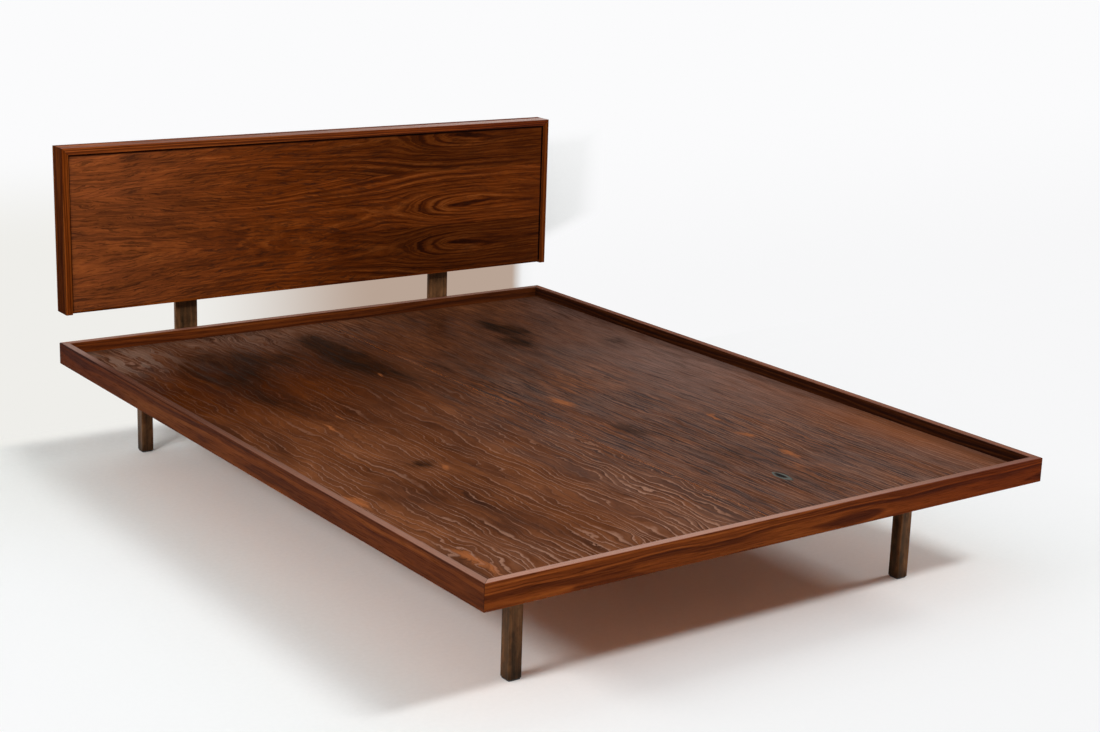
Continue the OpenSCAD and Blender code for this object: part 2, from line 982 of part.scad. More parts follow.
veneer_leaf(leaf_z, seam_1_z);  // lower_veneer_leaf
veneer_leaf(seam_1_z, seam_2_z);  // middle_veneer_leaf
veneer_leaf(seam_2_z, panel_top);  // upper_veneer_leaf
panel_lipping();
batten(upper_batten_z);  // upper_batten
batten(lower_batten_z);  // lower_batten
batten_screws();
post(-1);  // left_post
post(1);  // right_post
post_spacers();
post_screws();
post_bolts();
post_washers();
post_nuts();
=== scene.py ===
import math
from functools import reduce
from types import SimpleNamespace
import bpy
from mathutils import Matrix, Vector


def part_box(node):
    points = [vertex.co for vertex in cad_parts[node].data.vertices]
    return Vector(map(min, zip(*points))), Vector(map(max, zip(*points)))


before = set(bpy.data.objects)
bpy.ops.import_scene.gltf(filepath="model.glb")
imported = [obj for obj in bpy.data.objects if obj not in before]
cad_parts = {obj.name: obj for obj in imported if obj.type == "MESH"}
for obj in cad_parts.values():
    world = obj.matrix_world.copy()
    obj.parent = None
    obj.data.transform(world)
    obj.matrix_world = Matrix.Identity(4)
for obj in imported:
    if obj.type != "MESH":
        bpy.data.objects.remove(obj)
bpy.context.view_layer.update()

# The photograph's camera: place in metres, heading, height and tilt in degrees, lens in millimetres
CAMERA_PLACE = (-2.7045, -3.9036, 1.6699)
CAMERA_AZIMUTH, CAMERA_ELEVATION, CAMERA_ROLL = -37.510, 14.832, 2.334
CAMERA_LENS, SENSOR_WIDTH, CAMERA_SHIFT = 63.738, 36.0, -0.0529

# Edges of the bed that the finishes follow, in metres
LOWER_SEAM, UPPER_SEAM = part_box("middle_veneer_leaf")[0][2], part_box("middle_veneer_leaf")[1][2]
FOOT_Y, HEAD_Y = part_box("foot_rail")[0][1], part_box("head_rail")[1][1]
SIDE_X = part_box("right_rail")[1][0]
BOARD_X, BOARD_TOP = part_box("headboard_right_board")[1][0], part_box("headboard_top_board")[1][2]
PANEL_X, PANEL_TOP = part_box("headboard_right_board")[0][0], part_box("headboard_top_board")[0][2]


def srgb(red, green, blue):
    """A colour as a screen shows it, 0 to 255 a channel, turned into light."""
    def light(value):
        value /= 255.0
        return value / 12.92 if value <= 0.04045 else ((value + 0.055) / 1.055) ** 2.4
    return (light(red), light(green), light(blue), 1.0)


class Value:
    """A number that the shader works out at each point, for use in sums."""

    def __init__(self, graph, socket):
        self.graph, self.socket = graph, socket

    def __add__(self, other):
        return self.graph.math("ADD", self, other)

    def __sub__(self, other):
        return self.graph.math("SUBTRACT", self, other)

    def __rsub__(self, other):
        return self.graph.math("SUBTRACT", other, self)

    def __mul__(self, other):
        return self.graph.math("MULTIPLY", self, other)

    def __truediv__(self, other):
        return self.graph.math("DIVIDE", self, other)

    __radd__, __rmul__ = __add__, __mul__


class Graph:
    """The node tree of one material, or of the world. Each method adds a node and gives its result."""

    def __init__(self, name, world=False):
        self.material = (bpy.data.worlds if world else bpy.data.materials).new(name)
        self.material.use_nodes = True
        self.tree = self.material.node_tree
        self.tree.nodes.clear()
        split = self.node("ShaderNodeSeparateXYZ")
        self.plug(split.inputs[0], self.node("ShaderNodeTexCoord").outputs["Object"])
        self.x, self.y, self.z = (Value(self, out) for out in split.outputs)

    def node(self, kind, **settings):
        node = self.tree.nodes.new(kind)
        for key, value in settings.items():
            setattr(node, key, value)
        return node

    def plug(self, socket, value):
        if isinstance(value, Value):
            value = value.socket
        if isinstance(value, bpy.types.NodeSocket):
            self.tree.links.new(value, socket)
        elif value is not None:
            socket.default_value = value

    def math(self, operation, a, b=None, clamp=False):
        node = self.node("ShaderNodeMath", operation=operation, use_clamp=clamp)
        self.plug(node.inputs[0], a)
        self.plug(node.inputs[1], b)
        return Value(self, node.outputs[0])

    def clamp(self, value):
        return self.math("ADD", value, 0.0, clamp=True)

    def size(self, value):
        """A number without its sign."""
        return self.math("ABSOLUTE", value)

    def least(self, *values):
        return reduce(lambda a, b: self.math("MINIMUM", a, b), values)

    def most(self, *values):
        return reduce(lambda a, b: self.math("MAXIMUM", a, b), values)

    def distance(self, *parts):
        """The root of the parts' squares added up."""
        return self.math("SQRT", sum(part * part for part in parts))

    def vector(self, x, y, z):
        node = self.node("ShaderNodeCombineXYZ")
        for socket, value in zip(node.inputs, (x, y, z)):
            self.plug(socket, value)
        return node.outputs[0]

    def noise(self, x, y, z, detail=2.0, roughness=0.5):
        """Soft noise round 0.5 at a place given in waves."""
        node = self.node("ShaderNodeTexNoise")
        self.plug(node.inputs["Vector"], self.vector(x, y, z))
        return self.set_noise(node, detail, roughness)

    def noise_1d(self, value, detail=2.0, roughness=0.5):
        """The same along a line."""
        node = self.node("ShaderNodeTexNoise", noise_dimensions="1D")
        self.plug(node.inputs["W"], value)
        return self.set_noise(node, detail, roughness)

    def set_noise(self, node, detail, roughness):
        for key, setting in (("Scale", 1.0), ("Detail", detail), ("Roughness", roughness)):
            node.inputs[key].default_value = setting
        return Value(self, node.outputs["Fac"])

    def smooth(self, value, low, high, at_low=0.0, at_high=1.0):
        """Goes smoothly from at_low to at_high as value goes from low to high."""
        node = self.node("ShaderNodeMapRange", interpolation_type="SMOOTHSTEP")
        for socket, setting in zip(node.inputs, (value, low, high, at_low, at_high)):
            self.plug(socket, setting)
        return Value(self, node.outputs[0])

    def spot(self, a, b, place, size):
        """1 at a place, and fading to 0 round it as a bell of that half width in a and b."""
        da, db = (a - place[0]) / size[0], (b - place[1]) / size[1]
        return self.math("EXPONENT", (da * da + db * db) * -1.0)

    def ramp(self, value, *stops):
        """A colour for a value from 0 to 1. Each stop is a place and a colour."""
        node = self.node("ShaderNodeValToRGB")
        elements = node.color_ramp.elements
        elements[0].position, elements[0].color = stops[0]
        elements[1].position, elements[1].color = stops[-1]
        for position, colour in stops[1:-1]:
            elements.new(position).color = colour
        self.plug(node.inputs[0], value)
        return node.outputs[0]

    def mix(self, factor, a, b, blend="MIX"):
        """Goes from colour a to colour b, or to their blend, as factor goes from 0 to 1."""
        node = self.node("ShaderNodeMix", data_type="RGBA", blend_type=blend, clamp_factor=True)
        # Input 0 is the factor. Inputs 6 and 7 and output 2 are the node's colours
        for index, value in ((0, factor), (6, a), (7, b)):
            self.plug(node.inputs[index], value)
        return node.outputs[2]

    def tone(self, colour, factor):
        """The colour made lighter or darker by a factor."""
        return self.mix(1.0, colour, self.vector(factor, factor, factor), "MULTIPLY")

    def normal_part(self, axis):
        """How far a face looks along an axis of the bed, from -1 to 1."""
        split = self.node("ShaderNodeSeparateXYZ")
        self.plug(split.inputs[0], self.node("ShaderNodeNewGeometry").outputs["Normal"])
        return Value(self, split.outputs["XYZ".index(axis)])

    def looked_at(self):
        """1 for what the camera sees itself, mirrored or through glass, and 0 for light on things."""
        rays = self.node("ShaderNodeLightPath").outputs
        return self.most(rays["Is Camera Ray"], rays["Is Glossy Ray"], rays["Is Transmission Ray"])

    def mix_shaders(self, factor, a, b):
        node = self.node("ShaderNodeMixShader")
        for socket, value in zip(node.inputs, (factor, a, b)):
            self.plug(socket, value)
        return node.outputs[0]

    def finish(self, colour, roughness, height, relief, **fixed):
        """The principled shader, with a bump of so many metres where height goes from 0 to 1."""
        shader = self.node("ShaderNodeBsdfPrincipled")
        self.plug(shader.inputs["Base Color"], colour)
        self.plug(shader.inputs["Roughness"], roughness)
        for key, value in fixed.items():
            shader.inputs[key.replace("_", " ")].default_value = value
        bump = self.node("ShaderNodeBump")
        bump.inputs["Distance"].default_value = relief
        self.plug(bump.inputs["Height"], height)
        self.plug(shader.inputs["Normal"], bump.outputs[0])
        self.plug(self.node("ShaderNodeOutputMaterial").inputs["Surface"], shader.outputs[0])
        return self.material


def board_axes(g, along):
    """Coordinates of a board: u along its grain, v and w across it."""
    return {"X": (g.x, g.y, g.z), "Y": (g.y, g.x, g.z), "Z": (g.z, g.x, g.y)}[along]


# Walnut from its darkest late wood to its palest
WALNUT_STOPS = (
    (0.20, srgb(40, 12, 2)), (0.38, srgb(74, 29, 5)), (0.50, srgb(100, 44, 10)),
    (0.62, srgb(124, 60, 18)), (0.80, srgb(152, 84, 36)),
)
# Its painted pale sheen on top faces, its colour in the joints, and what makes it deeper when multiplied
SHEEN_WALNUT, JOINT_DARK = srgb(182, 136, 116), srgb(20, 8, 4)
RICHER = (0.86, 0.60, 0.30, 1.0)
# Metres from ring to ring, the half width of a mitre's dark line, and how far in from the bed's outer
# edge the painted sheen on top faces starts and is full
RING_SPACING, MITRE_LINE = 0.0050, 0.0011
SHEEN_START, SHEEN_FULL = 0.0015, 0.0045
# The two places along a board, in metres, that its paleness is given for
BOARD_ENDS = (-0.9, 0.9)


def fibres(g, u, across, depth, seed):
    """Fine streaks, wider streaks and open pores that run with the figure. Pores are dark at 0."""
    streaks = g.noise(u * 8.0 + seed, across * 330.0, depth * 330.0, 3.0, 0.65)
    wide = g.noise(u * 3.0 + seed, across * 85.0, depth * 85.0, 3.0, 0.6)
    dashes = g.noise(u * 26.0 - seed, across * 420.0, depth * 420.0, 1.0, 0.4)
    pores = g.noise(u * 60.0 - seed, across * 1500.0, depth * 1500.0, 1.0, 0.4)
    return streaks, wide, g.smooth(dashes, 0.26, 0.44) * g.smooth(pores, 0.24, 0.40)


def mitre_line(g, plane, half_width, edge):
    """1 in a dark joint at 45 degrees, in the xy or xz plane, from the corners where |x| is half_width
    and y or z is edge."""
    other = g.y if plane == "xy" else g.z
    gap = (half_width - g.size(g.x)) - g.size(other - edge)
    return g.smooth(g.size(gap), 0.3 * MITRE_LINE, MITRE_LINE, 1.0, 0.0)


def solid_walnut(node, along, pith, seed, light, joints=(), painted_sheen=(), rich=None, dark=None):
    """A walnut board cut from a log whose pith runs past it at (v, w). light is how pale the board is
    at BOARD_ENDS. Its top face can get a painted pale sheen, and be smoother, between the places and by
    the amounts listed for it, which add up. rich is where its colour turns deeper along it, and dark is
    (axis, side, factor) for a face darkened as painted shade."""
    g = Graph(node + "_walnut")
    u, v, w = board_axes(g, along)
    slow = g.noise(u * 1.1 + seed, v * 5.0, w * 5.0) - 0.5
    quick = g.noise(u * 5.5 - seed, v * 26.0, w * 26.0) - 0.5
    radius = g.distance(v - pith[0], w - pith[1]) + slow * 0.024 + quick * 0.0036
    figure = g.smooth(g.noise_1d(radius / RING_SPACING + seed, 3.0, 0.6), 0.28, 0.72)
    drift = g.noise(u * 1.7 + seed, v * 9.0, w * 9.0, 1.0)
    streaks, wide, pores = fibres(g, u, radius, v - w, seed)
    shade = figure * 0.28 + wide * 0.32 + streaks * 0.40
    level = (pores * 0.30 + 0.70) * (drift * 0.5 + 0.75) * g.smooth(u, *BOARD_ENDS, *light)
    colour = g.tone(g.ramp(g.clamp(shade), *WALNUT_STOPS), level)
    if rich:
        colour = g.mix(g.smooth(u, *rich), colour, RICHER, "MULTIPLY")
    # Painted shade: the face that looks along this side of the axis is darkened by the factor
    if dark:
        axis, side, factor = dark
        colour = g.tone(colour, g.smooth(g.normal_part(axis) * side, 0.5, 0.9, 1.0, factor))
    rough = g.smooth(pores + streaks * 0.6, 0.4, 1.4, 0.85, 0.70)
    # Painted sheen: top faces are painted pale, as a sheen, and made smoother
    if painted_sheen:
        inset = g.least(SIDE_X - g.size(g.x), g.y - FOOT_Y, HEAD_Y - g.y)
        top = g.smooth(g.normal_part("Z"), 0.5, 0.9) * sum(g.smooth(u, *stretch) for stretch in painted_sheen)
        top = top * g.smooth(inset, SHEEN_START, SHEEN_FULL)
        colour = g.mix(top * 0.56, colour, SHEEN_WALNUT)
        rough = rough - top * 0.38
    for joint in joints:
        colour = g.mix(mitre_line(g, *joint) * 0.75, colour, JOINT_DARK)
    height = pores * 0.7 + streaks * 0.3
    return g.finish(colour, rough, height, 0.00020, Specular_IOR_Level=0.06 if painted_sheen else 0.006)


# The log that the three leaves were cut from: the height of its pith, how far the cut stays from it on
# the left and on the right, its rings' spacing, and the left tip of the eye where the cut meets it
PITH_HEIGHT = 0.620
CUT_LEFT, CUT_RIGHT = 0.050, 0.004
VENEER_RINGS = 0.0090
EYE_TIP = 0.430
# Small rises in the middle leaf's rings: place in x and z, half widths and height
LEAF_FIGURE = (
    ((-0.12, 0.572), (0.15, 0.020), 0.007), ((0.80, 0.566), (0.13, 0.026), -0.010),
    ((0.56, 0.640), (0.09, 0.012), -0.005), ((-0.55, 0.63), (0.10, 0.03), 0.006),
)
# A smoky patch in the leaf beside the eye: place in x and z, and half widths
SMOKE_PLACE, SMOKE_SIZE = (0.33, 0.605), (0.085, 0.036)
# Painted shadow along the leaves' edges under the frame, in metres from it, and the gap by which it is
# wider at the left
SHADOW_LINE_START, SHADOW_LINE_END, LEFT_GAP = 0.0045, 0.0078, 0.003
# The leaves' painted grey sheen at the left, and their short dark dashes
VENEER_SHEEN, VENEER_PORES = srgb(116, 70, 44), srgb(46, 24, 14)


def leaf_shade(g, x, z, slow, quick, seed):
    """How pale the leaf's figure is, from 0 to 1, and its fine streaks. The cut runs towards the pith
    to the right, which gives nested arches round a dark eye there."""
    up = z - PITH_HEIGHT + slow * 0.020
    depth = g.smooth(x, 0.20, 0.50, CUT_LEFT, CUT_RIGHT) + slow * 0.012
    tremor = g.noise(x * 26.0, z * 95.0, 6.0) - 0.5
    log = g.distance(up, depth) + up * g.smooth(x, 0.30, -0.25, 0.0, 0.60)
    log = log + quick * 0.0095 + tremor * 0.0030 + x * 0.012
    for place, size, height in LEAF_FIGURE:
        log = log + g.spot(x, z, place, size) * height
    bands = g.smooth(g.noise_1d(log / VENEER_RINGS + 4.0, 3.0, 0.62), 0.32, 0.68)
    weight = g.smooth(x, -0.10, 0.28, 0.30, 0.74) * g.smooth(x, 0.46, 0.62, 1.0, 0.50)
    streaks = g.noise(x * 9.0 + seed, log * 300.0, 0.0, 3.0, 0.65)
    wide = g.noise(x * 5.0 + seed, log * 105.0, 0.0, 3.0, 0.6)
    shade = (bands - 0.5) * weight * 0.34 + (wide - 0.5) * 0.40 + (streaks - 0.5) * 0.46 + 0.5

    tip = g.least(x - EYE_TIP, 0.0) * 0.45
    above = up - g.smooth(x, 0.44, 0.57, 0.0, 0.012) + quick * 0.030
    off = g.distance(tip, above)
    fade = g.smooth(x, 0.66, 0.55)
    eye = g.smooth(off, 0.0085, 0.0015) * fade
    outline = g.smooth(off, 0.021, 0.013) * g.smooth(off, 0.005, 0.011) * fade
    return shade - eye * 0.15 + outline * 0.09, streaks


def veneer(node, flip_at, seed, shades):
    """One of three leaves cut one after another from the same log. flip_at is the seam that it is
    turned over about, or None, so its figure mirrors its neighbour's. shades are how pale the leaf is
    at its left end and in its middle, and how pale its right part is beside the middle; the fall to the
    right is partly painted shade."""
    g = Graph(node + "_veneer")
    x = g.x
    z = g.z if flip_at is None else 2.0 * flip_at - g.z
    slow = g.noise(x * 2.2 + 3.0, z * 9.0, 0.0, 1.0) - 0.5
    quick = g.noise(x * 9.0, z * 42.0, 1.0, 3.0, 0.6) - 0.5
    shade, streaks = leaf_shade(g, x, z, slow, quick, seed)

    flow = z + quick * 0.026 + slow * 0.050 + x * 0.09
    short = g.noise(x * 13.0 - seed, flow * 250.0, 2.0, 4.0, 0.68)
    smudge = g.noise(x * 9.0 + seed, flow * 78.0, 4.0, 4.0, 0.66)
    dashes = g.smooth(short, 0.39, 0.50, g.smooth(x, 0.0, 0.35, 0.34, 0.66), 1.0)
    dashes = dashes * g.smooth(smudge, 0.36, 0.52, g.smooth(x, 0.0, 0.35, 0.56, 0.82), 1.0)

    left_end, middle, right_part = shades
    smoke = g.spot(x, z, SMOKE_PLACE, SMOKE_SIZE) * 0.34
    level = g.noise(x * 4.0, flow * 20.0, 5.0, 4.0, 0.62) * 0.98 + 0.60 - smoke
    # Paleness across the leaf, whose fall to the right is partly painted shade
    level = level * g.smooth(x, -0.80, 0.05, left_end, middle) * g.smooth(x, -0.15, 0.34, 1.0, right_part)
    # Painted shadow: the leaves darken towards the edges where the frame stands in front of them
    rim = g.least(PANEL_X - x, PANEL_X + x + LEFT_GAP, PANEL_TOP - g.z)
    level = level * g.smooth(rim, SHADOW_LINE_START, SHADOW_LINE_END, 0.09, 1.0)
    # Painted sheen: a greyer brown over the left part
    colour = g.mix(g.smooth(x, -0.05, -0.70) * 0.26, g.ramp(g.clamp(shade), *WALNUT_STOPS), VENEER_SHEEN)
    colour = g.mix(1.0 - dashes, colour, VENEER_PORES)
    rough = g.smooth(dashes + streaks * 0.6, 0.4, 1.4, 0.62, 0.46)
    height = dashes * 0.7 + streaks * 0.3
    return g.finish(g.tone(colour, level), rough, height, 0.00015, Specular_IOR_Level=0.012)


# Stains in the deck: place in x and y, half widths and depth
DARK_STAINS = (
    ((-0.125, 0.60), (0.065, 0.27), 0.95), ((-0.42, 0.68), (0.22, 0.19), 0.62),
    ((-0.50, 0.38), (0.050, 0.20), 0.62), ((0.43, 0.70), (0.050, 0.13), 0.85),
    ((0.37, 0.53), (0.050, 0.09), 0.90), ((0.64, 0.43), (0.04, 0.06), 0.40),
    ((-0.455, -0.29), (0.05, 0.030), 0.48), ((0.13, -0.28), (0.05, 0.09), 0.40),
    ((0.22, -0.62), (0.08, 0.28), 0.36), ((0.55, -0.02), (0.10, 0.16), 0.30),
)
# Places where the raised lines' painted pale sheen is strongest and the lines sway more: place in x and y,
# half widths and strength
SHEEN_PLACES = (
    ((-0.13, -0.72), (0.10, 0.28), 0.75), ((-0.62, -0.84), (0.10, 0.16), 0.60),
    ((-0.30, -0.92), (0.24, 0.07), 0.60), ((-0.69, 0.90), (0.09, 0.14), 1.10),
    ((-0.22, 0.95), (0.22, 0.10), 0.85), ((0.40, -0.45), (0.03, 0.60), 0.35),
)
# Spots where the stain has worn off: place, half widths and strength
WORN_SPOTS = (
    ((-0.49, 0.04), (0.010, 0.05), 1.0), ((-0.43, 0.14), (0.007, 0.04), 1.0),
    ((-0.145, 0.44), (0.010, 0.02), 1.0), ((0.13, -0.02), (0.022, 0.08), 1.0),
    ((0.36, -0.47), (0.016, 0.05), 1.0), ((-0.686, -0.87), (0.02, 0.08), 1.0),
    ((0.35, -0.66), (0.014, 0.04), 1.0), ((0.39, -0.34), (0.010, 0.04), 1.0),
    ((-0.71, -0.42), (0.02, 0.05), 1.0), ((-0.42, -0.31), (0.012, 0.04), 1.0),
)
# Areas of the deck, as place in x and y, half widths and strength: a painted grey sheen, a warm patch,
# browner stain, a painted sheen on streaks at the head end, and a corner of flames that are partly painted
# sheen
SHEEN_HAZE_PLACES = (((0.62, 0.16), (0.24, 0.46), 1.0), ((0.76, 0.76), (0.12, 0.30), 0.7))
WARM = (((0.72, -0.66), (0.08, 0.34), 0.70),)
BROWN = (((-0.50, 0.47), (0.64, 0.38), 1.0),)
SHEEN_HEAD = (((-0.30, 0.98), (0.40, 0.20), 1.0),)
FLAMED_CORNER = (((-0.66, 0.88), (0.12, 0.14), 1.0),)
# How the two sheets differ: the seed, how far the lines sway in general and more in pale places, how
# far they are kinked, their spacing in metres, the shares of clouds, strips, wide and fine streaks in
# the stain, how much the raised lines show, and whether the stain is mottled
LEFT_SHEET = SimpleNamespace(
    seed=11.0, sway=(0.040, 0.034), kink=0.0150, spacing=0.0100, shares=(0.42, 0.24, 0.17, 0.17),
    raised=0.66, mottled=False,
)
RIGHT_SHEET = SimpleNamespace(
    seed=37.0, sway=(0.018, 0.030), kink=0.0080, spacing=0.0070, shares=(0.32, 0.12, 0.26, 0.30),
    raised=0.62, mottled=True,
)
# The stain from its darkest to its palest, and what tints it, one of these a painted grey sheen
STAIN_STOPS = (
    (0.36, srgb(46, 21, 8)), (0.455, srgb(76, 39, 17)), (0.54, srgb(97, 54, 28)), (0.64, srgb(120, 71, 41)),
)
COOL_STAIN, STAIN_VEINS, WARM_STAIN = srgb(88, 70, 64), srgb(50, 41, 40), srgb(122, 70, 40)
SHEEN_HAZE, BROWNER = srgb(122, 95, 86), (0.72, 0.50, 0.22, 1.0)
# The grain's colours: painted shade in the grooves, and painted pale sheen on the raised lines, the figure,
# the head end's streaks and, in part, the flames; those of the wear on it, and the bare plywood below
GROOVE_SHADE, RAISED_SHEEN, SHEEN_FIGURE = srgb(56, 33, 23), srgb(144, 106, 87), srgb(132, 92, 72)
SHEEN_STREAKS, FLAMES = srgb(122, 96, 82), srgb(128, 104, 90)
DARK_STAIN, BARE_WOOD = srgb(20, 10, 4), srgb(154, 90, 50)
SEAM_WEAR, SEAM_DARK = srgb(140, 104, 84), srgb(20, 11, 7)
UNDERSIDE_STOPS = ((0.3, srgb(208, 112, 36)), (0.7, srgb(236, 140, 54)))
# Metres from the middle of the seam between the sheets: where its dark line starts to fade and is
# gone, and where the wear beside it starts, is full and ends
SEAM_LINE = (0.0006, 0.0014)
SEAM_EDGE = (0.0010, 0.0030, 0.0060)


def places(g, a, b, spots):
    """The strength of a list of spots at a place, added up."""
    return sum(g.spot(a, b, place, size) * strength for place, size, strength in spots)


def ply_grain(g, sheet, pale):
    """The grain of a rotary-cut sheet: its raised lines and grooves, and noises that run with them."""
    x, y, seed = g.x, g.y, sheet.seed
    slow = g.noise(x * 3.0 + seed, y * 0.9, 0.0) - 0.5
    flames = g.noise(x * 12.0 - seed, y * 4.2, 1.0) - 0.5
    kinks = g.noise(x * 30.0, y * 16.0 + seed, 2.0, 4.0, 0.6) - 0.5
    log = x * 0.55 + slow * 0.040 + flames * (pale * sheet.sway[1] + sheet.sway[0]) + kinks * sheet.kink
    ring = log / sheet.spacing + g.noise_1d(log * 22.0, 1.0) * 3.0
    gap = g.math("FRACT", ring)
    gate = g.noise(x * 14.0, y * 3.5, seed, 3.0, 0.6)
    lines = g.most(g.smooth(gap, pale * 0.22 + 0.17, 0.04), g.smooth(gap, 0.93, 0.98))
    return SimpleNamespace(
        flames=flames, kinks=kinks, gate=gate, lines=lines * g.smooth(gate, 0.34, 0.56, 0.15, 1.0),
        grooves=g.smooth(gap, 0.60, 0.94) * g.smooth(gap, 1.0, 0.94),
        strip=g.noise(g.math("FLOOR", ring) * 3.7, y * 2.6, seed),
        streaks=g.noise(log * 420.0, y * 9.0, seed, 3.0, 0.65),
        wide=g.noise(log * 130.0, y * 6.0, seed, 3.0, 0.6),
        cloud=g.noise(x * 5.0, y * 3.2, seed, 6.0, 0.62),
        grey=g.noise(x * 17.0 + seed, y * 3.0, 7.0, 5.0, 0.66),
    )


def stain(g, sheet, grain):
    """The stain: brown to the head and left, cooler and veined to the right, with painted grey sheen in
    patches.
    """
    x, y, seed = g.x, g.y, sheet.seed
    layers = (grain.cloud, grain.strip, grain.wide, grain.streaks)
    shade = sum(layer * share for layer, share in zip(layers, sheet.shares))
    colour = g.ramp(g.clamp(shade), *STAIN_STOPS)
    cool = g.smooth(grain.grey, 0.36, 0.66, 0.22, 0.74) * g.smooth(x, -0.40, 0.20, 0.15, 0.95)
    colour = g.mix(cool * g.smooth(y, 0.80, 0.25, 0.15, 1.0), colour, COOL_STAIN)
    veins = g.smooth(g.noise(x * 125.0 + grain.kinks * 3.0, y * 4.2, seed, 3.0, 0.65), 0.48, 0.60)
    veined = g.smooth(x, -0.35, 0.06) * g.smooth(x, 0.76, 0.45, 0.35, 1.0) * g.smooth(y, 0.60, 0.10)
    colour = g.mix(veins * veined * 0.90, colour, STAIN_VEINS)
    if sheet.mottled:
        mottle = g.noise(x * 30.0, y * 7.5, seed, 5.0, 0.70)
        fine = g.noise(x * 84.0 + grain.kinks * 3.0, y * 6.5, seed, 4.0, 0.72)
        colour = g.tone(colour, (mottle * 1.35 + 0.38) * (fine * 2.0 + 0.03))
        colour = g.mix(places(g, x, y, WARM), colour, WARM_STAIN)
    streaky = g.smooth(grain.streaks * 0.5 + grain.wide * 0.5, 0.36, 0.60, 0.10, 0.80)
    # Painted grey sheen in soft patches
    colour = g.mix(places(g, x, y, SHEEN_HAZE_PLACES) * streaky, colour, SHEEN_HAZE)
    colour = g.mix(places(g, x, y, BROWN), colour, BROWNER, "MULTIPLY")
    return g.tone(colour, g.smooth(y, -0.1, 0.60, 1.10, 0.80))


def raised_grain(g, sheet, grain, pale, colour):
    """Adds painted pale sheen on raised lines, head-end figure and, in part, corner flames, and painted
    shade in grooves.
    """
    x, y = g.x, g.y
    strength = g.smooth(y, 0.45, -0.50, 0.16, sheet.raised) + pale * 0.7
    # Painted shade in the grooves, and painted pale sheen on the raised lines
    colour = g.mix(grain.grooves * strength * 0.50, colour, GROOVE_SHADE)
    colour = g.mix(grain.lines * strength * 0.85, colour, RAISED_SHEEN)
    colour = g.mix(pale * g.smooth(grain.wide, 0.40, 0.60) * 0.34, colour, SHEEN_FIGURE)
    head = places(g, x, y, SHEEN_HEAD) * g.smooth(grain.streaks, 0.42, 0.60)
    colour = g.mix(head * 0.42, colour, SHEEN_STREAKS)
    flame = g.smooth(g.noise(x * 34.0 + grain.kinks * 0.8, y * 7.0, 8.0), 0.49, 0.56)
    return g.mix(flame * places(g, x, y, FLAMED_CORNER) * 0.55, colour, FLAMES)


def deck_wear(g, grain, colour):
    """Adds the dark stains, the spots worn bare and the seam between the sheets."""
    x, y = g.x, g.y
    dark = places(g, x + grain.flames * 0.06, y + grain.kinks * 0.10, DARK_STAINS)
    ragged = (grain.cloud - 0.5) * 1.5 + (grain.grey - 0.5) * 1.1
    dark = g.smooth(dark + ragged * g.clamp(dark * 1.6 + 0.45), 0.08, 0.80)
    colour = g.mix(dark * g.smooth(grain.wide, 0.30, 0.66, 0.94, 0.66), colour, DARK_STAIN)
    worn = g.clamp(places(g, x + grain.kinks * 0.06, y + grain.flames * 0.2, WORN_SPOTS))
    worn = g.smooth(worn + (grain.grey - 0.5) * 1.2 + (grain.streaks - 0.5) * 1.4, 0.34, 1.15)
    colour = g.mix(worn * 0.80, colour, BARE_WOOD)
    seam = g.size(x)
    start, full, end = SEAM_EDGE
    edge = g.smooth(seam, start, full) * g.smooth(seam, end, full) * g.smooth(grain.gate, 0.45, 0.60)
    colour = g.mix(edge * 0.30, colour, SEAM_WEAR)
    return g.mix(g.smooth(seam, *SEAM_LINE, 0.75, 0.0), colour, SEAM_DARK)


def stained_deck(node, sheet):
    """Rotary-cut plywood under dark stain: raised lines painted pale as sheen, blotches of stain and worn
    spots.
    """
    g = Graph(node + "_ply")
    pale = g.clamp(places(g, g.x, g.y, SHEEN_PLACES))
    grain = ply_grain(g, sheet, pale)
    colour = stain(g, sheet, grain)
    colour = raised_grain(g, sheet, grain, pale, colour)
    colour = deck_wear(g, grain, colour)
    under = g.ramp(g.noise(g.x * 60.0, g.y * 3.0, g.z * 900.0), *UNDERSIDE_STOPS)
    colour = g.mix(g.smooth(g.normal_part("Z"), 0.4, 0.8), under, colour)
    rough = g.smooth(grain.wide + (grain.cloud - 0.5) * 0.6, 0.38, 0.62, 0.30, 0.54)
    height = grain.lines * 0.6 + grain.streaks * 0.3
    return g.finish(colour, rough, height, 0.0004, Specular_IOR_Level=0.0012)


# The hole in the repair patch, painted on with the shade inside it: its place in x and y, and its half
# widths
HOLE_PLACE, HOLE_SIZE = (0.215, -0.767), (0.0105, 0.030)


def patch_wood():
    """The repair patch, with a hole painted on, its black standing in for the shade inside, and a worn
    grey-green rim.
    """
    g = Graph("patch_wood")
    grain = g.noise(g.x * 240.0, g.y * 12.0, 4.0, 3.0, 0.6)
    across, along = (g.x - HOLE_PLACE[0]) / HOLE_SIZE[0], (g.y - HOLE_PLACE[1]) / HOLE_SIZE[1]
    off = g.distance(across, along) + (grain - 0.5) * 0.7
    rim = g.smooth(off, 0.62, 0.90) * g.smooth(off, 1.35, 1.05)
    # Painted shade: the hole is a black spot
    hole = g.smooth(off, 0.75, 0.50)
    colour = g.ramp(grain, (0.3, srgb(44, 34, 28)), (0.7, srgb(84, 66, 56)))
    colour = g.mix(hole, g.mix(rim * 0.85, colour, srgb(84, 92, 88)), srgb(12, 10, 9))
    return g.finish(colour, 0.6, grain - hole * 2.0, 0.0005, Specular_IOR_Level=0.02)


# Sawn timber: pale and deep colours, where the logs' pith is across the grain, and the rings' spacing
POPLAR = srgb(180, 118, 62), srgb(136, 78, 36)
PINE = srgb(196, 120, 58), srgb(152, 82, 34)
TIMBER_PITH, TIMBER_RINGS = (0.05, 0.12), 0.0065


